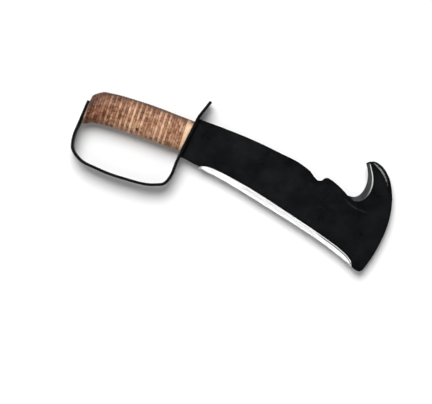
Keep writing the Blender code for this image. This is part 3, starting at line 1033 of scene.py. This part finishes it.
def coat_material(name, colour, rubbed_colour, roughness, unrolled=False, forging_line=None):
    """Satin black over steel: cloudy, finely pebbled, scratched, and rubbed where wear says.
    unrolled is for a bent strap, whose scratches follow its bends."""
    shader = Shader(name)
    surface = shader.attribute("grain", "Vector") if unrolled else shader.place
    clouds = shader.noise(42, 5, 0.6)
    pebbles = shader.noise(2300, 2)
    marks = scratches(shader, surface)
    base = shader.mix(shader.spread(clouds, 0.3, 0.75), colour, scaled(colour, 1.9))
    specks = shader.spread(shader.noise(900, 2, 0.6), 0.68, 0.76)
    base = shader.mix(shader.times(specks, 0.4), base, SPECK_GREY)
    base = shader.mix(shader.times(marks, 0.45), base, SCRATCH_GREY)
    # painted blacker near every edge
    base = shader.mix(shader.attribute("rim"), base, scaled(colour, 0.4))
    if forging_line is not None:
        # painted highlight: a paler arc where the forging shoulder would catch the light
        line = arc_mask(shader, *forging_line)
        base = shader.mix(shader.times(line, 0.38), base, FORGING_LINE_HIGHLIGHT)
    ragged = shader.times(shader.noise(420, 4, 0.7), 0.9)
    wear = shader.spread(shader.plus(shader.attribute("wear"), ragged), 0.78, 1.12)
    base = shader.mix(wear, base, rubbed_colour)
    rough = shader.spread(clouds, 0.25, 0.75, roughness - 0.05, roughness + 0.1)
    shader.set(
        Base_Color=base, Roughness=rough, Metallic=shader.times(wear, 0.85),
        Specular_IOR_Level=0.08,
    )
    shader.bump((pebbles, 0.02 * MM), (clouds, 0.12 * MM), (marks, -0.004 * MM))
    return shader.material


def arc_mask(shader, centre, radius, low_x, high_x):
    """A faint arc across the flats, two millimetres wide and fading at both ends: the mask for a
    painted highlight.
    """
    off = shader.math("ABSOLUTE", shader.math("SUBTRACT", shader.distance_from(centre), radius))
    line = shader.spread(off, 0.3 * MM, 1.6 * MM, 1, 0)
    axes = shader.add("SeparateXYZ", {0: shader.place}).outputs
    begins = shader.spread(axes["X"], low_x, low_x + 14 * MM)
    ends = shader.spread(axes["X"], high_x - 20 * MM, high_x, 1, 0)
    below = shader.spread(axes["Y"], centre[1] - 20 * MM, centre[1] - 25 * MM)
    broken = shader.spread(shader.noise(160), 0.36, 0.6, 0.35, 1)
    for part in (begins, ends, below, broken):
        line = shader.times(line, part)
    return line


def ground_steel_material(name, colour, line_colour, roughness):
    """Steel straight off the grinding belt: fine lines across the bevel, drifting in shade. It is
    greyed where scuffed says, and polished where gleam says."""
    shader = Shader(name)
    grain = shader.attribute("grain", "Vector")
    lines = shader.streaks(grain, (0.35 * MM, 7 * MM, 1), 4, 0.65, 0.12)
    drift = shader.streaks(grain, (17 * MM, 1.5 * MM, 1), 4)
    base = shader.mix(shader.spread(drift, 0.34, 0.56), line_colour, colour)
    base = shader.mix(shader.spread(lines, 0.5, 0.75, 0, 0.4), base, line_colour)
    base = shader.mix(shader.times(shader.attribute("scuffed"), 0.95), base, SCUFFED_STEEL)
    base = shader.mix(shader.attribute("gleam"), base, POLISHED_STEEL)
    rough = shader.spread(lines, 0.3, 0.7, roughness - 0.05, roughness + 0.08)
    shader.set(Base_Color=base, Roughness=rough, Metallic=1.0)
    shader.bump((lines, 0.022 * MM))
    return shader.material


def leather_material(name, ramp, varnish, mottle, stain=None):
    """Cut edges of thick leather: fine layers along the washer, blotches across the stack,
    pores, painted shade along the grip's back (its top) and painted light along its underside."""
    shader = Shader(name)
    blotches = shader.noise(230, 5, 0.6)
    layers = shader.streaks(shader.place, (0.32 * MM, 3 * MM, 3 * MM), 4, 0.6)
    pores = shader.noise(1100, 3, 0.6)
    tone = shader.attribute("tone")
    for change in (
        # painted light: the tone is raised towards the grip's underside
        shader.spread(shader.attribute("painted_shading"), 0.25, -0.75, 0, 0.16),
        shader.spread(blotches, 0.28, 0.72, -mottle, mottle),
        shader.spread(layers, 0.3, 0.7, -0.13, 0.13),
        shader.spread(pores, 0.3, 0.7, -0.06, 0.06),
    ):
        tone = shader.plus(tone, change)
    base = shader.ramp(shader.plus(shader.times(tone, 0.72), 0.1, clamp=True), ramp)
    flush = shader.spread(shader.noise(105, 3, 0.6), 0.46, 0.68, 0, 0.6)
    base = shader.mix(flush, base, shader.mix(0.5, base, FLUSH))
    # Painted shade: darker towards the grip's back, its top, in a soft step and a deep one, with a
    # ragged edge
    ragged = shader.spread(blotches, 0.3, 0.7, -0.08, 0.08)
    height = shader.plus(shader.attribute("painted_shading"), ragged)
    base = shader.mix(shader.spread(height, 0.4, 0.8, 0, 0.4), base, PAINTED_SHADE_BROWN)
    base = shader.mix(shader.spread(height, 0.76, 0.96, 0, 0.9), base, DEEP_PAINTED_SHADE_BROWN)
    base = shader.mix(shader.spread(pores, 0.24, 0.34, 0.55, 0), base, PORE_BROWN)
    if stain is not None:
        centre, radius = stain
        frayed = shader.times(shader.spread(pores, 0.3, 0.7), 1.2 * MM)
        reach = shader.plus(shader.distance_from(centre), frayed)
        spot = shader.spread(reach, radius, radius + 1.4 * MM, 0.92, 0)
        base = shader.mix(spot, base, STAIN_BROWN)
    rough = shader.spread(blotches, 0.3, 0.7, 0.46, 0.62)
    shader.set(
        Base_Color=base, Roughness=rough, Coat_Weight=varnish, Coat_Roughness=0.32,
        Specular_IOR_Level=0.25,
    )
    shader.bump((layers, 0.05 * MM), (pores, 0.04 * MM), (blotches, 0.15 * MM))
    return shader.material


# ---- stage


def make_floor():
    signs = ((-1, -1), (1, -1), (1, 1), (-1, 1))
    corners = [(x * FLOOR_HALF, y * FLOOR_HALF, 0) for x, y in signs]
    shader = Shader("pale_floor")
    shader.set(Base_Color=(*FLOOR_WHITE, 1), Roughness=0.9, Specular_IOR_Level=0.0)
    floor = mesh_object("floor", corners, [(0, 1, 2, 3)], [shader.material])


def make_world():
    """A pale room that is darker overhead, so that black steel stays black from above."""
    world = bpy.data.worlds.new("studio")
    world.use_nodes = True
    bpy.context.scene.world = world
    nodes, links = world.node_tree.nodes, world.node_tree.links
    place = nodes.new("ShaderNodeTexCoord")
    axes = nodes.new("ShaderNodeSeparateXYZ")
    rise = nodes.new("ShaderNodeMapRange")
    rise.interpolation_type = "SMOOTHSTEP"
    rise.inputs["From Max"].default_value = 0.8
    rise.inputs["To Min"].default_value = 1.0
    rise.inputs["To Max"].default_value = ROOM_OVERHEAD
    background = nodes["Background"]
    background.inputs["Color"].default_value = (1, 1, 1, 1)
    links.new(place.outputs["Generated"], axes.inputs[0])
    links.new(axes.outputs["Z"], rise.inputs["Value"])
    links.new(rise.outputs["Result"], background.inputs["Strength"])


def add_light(data, middle, side, slope, distance):
    """Puts a light at a distance from the middle, aimed at it. side is the direction in the floor's
    plane in which it leans, and slope is how far."""
    light = bpy.data.objects.new(data.name, data)
    towards = Vector(side) * math.sin(slope) + Vector((0, 0, math.cos(slope)))
    light.location = middle + towards * distance
    light.rotation_euler = (middle - light.location).to_track_quat("-Z", "Y").to_euler()
    light.visible_camera = False
    bpy.context.scene.collection.objects.link(light)


def make_lights(middle):
    """A soft sun from behind the spine, and a card that the cutting bevel mirrors."""
    sun = bpy.data.lights.new("sun", "SUN")
    sun.energy = SUN_STRENGTH
    sun.angle = SUN_SPREAD
    add_light(sun, middle, SUN_SIDE, SUN_SLOPE, 1)
    card = bpy.data.lights.new("card", "AREA")
    card.shape = "SQUARE"
    card.size = CARD_SIZE
    card.energy = CARD_STRENGTH * math.pi * CARD_SIZE**2
    add_light(card, middle, CARD_SIDE, CARD_SLOPE, CARD_DISTANCE)


def make_camera():
    data = bpy.data.cameras.new("camera")
    data.lens = data.sensor_width * CAMERA_HEIGHT / VIEW_WIDTH
    data.clip_end = 100
    camera = bpy.data.objects.new("camera", data)
    middle_z = (cad_box[0].z + cad_box[1].z) / 2
    camera.location = (*VIEW_CENTRE, middle_z + CAMERA_HEIGHT)
    camera.rotation_euler = (0, 0, VIEW_TURN)
    bpy.context.scene.collection.objects.link(camera)
    bpy.context.scene.camera = camera
    bpy.context.scene.view_settings.view_transform = "Standard"


def tool_origin(stations):
    """Where the drawing's zero stands in the frame, from the blade's box."""
    edge = np.array([station.edge for station in stations])
    low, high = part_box("blade")
    return Vector((high.x - edge[:, 0].max(), low.y - edge[:, 1].min(), (low.z + high.z) / 2))


def in_frame(point, origin):
    """A point of the drawing, in millimetres, in the frame's X and Y."""
    return (origin.x + point[0] * MM, origin.y + point[1] * MM, 0)


def main():
    stations = blade_stations()
    origin = tool_origin(stations)
    line_x = [in_frame((x, 0), origin)[0] for x in FORGING_LINE_X]
    line = (in_frame(FORGING_LINE_CENTRE, origin), FORGING_LINE_RADIUS * MM, *line_x)
    stain = (in_frame(STAIN_AT, origin), STAIN_RADIUS * MM)
    coat = coat_material("black_coat", COAT_BLACK, COAT_RUBBED, 0.3, forging_line=line)
    edge = ground_steel_material("ground_steel", BRIGHT_STEEL, BRIGHT_STEEL_LINES, 0.3)
    inner = ground_steel_material("dull_ground_steel", DULL_STEEL, DULL_STEEL_LINES, 0.45)
    strap = coat_material("strap_coat", STRAP_BLACK, STRAP_RUBBED, 0.34, unrolled=True)
    leathers = (
        leather_material("pale_leather", LEATHER_RAMP, 0.08, 0.28, stain),
        leather_material("dark_leather", LEATHER_RAMP, 0.1, 0.28, stain),
        leather_material("wedge_leather", WEDGE_RAMP, 0.05, 0.12),
    )
    make_blade(origin, stations, [coat, edge, inner])
    make_knuckle_guard(origin, strap)
    make_grip(origin, leathers)
    make_floor()
    make_world()
    make_lights(Vector((*VIEW_CENTRE, cad_box[1].z / 2)))
    make_camera()


main()
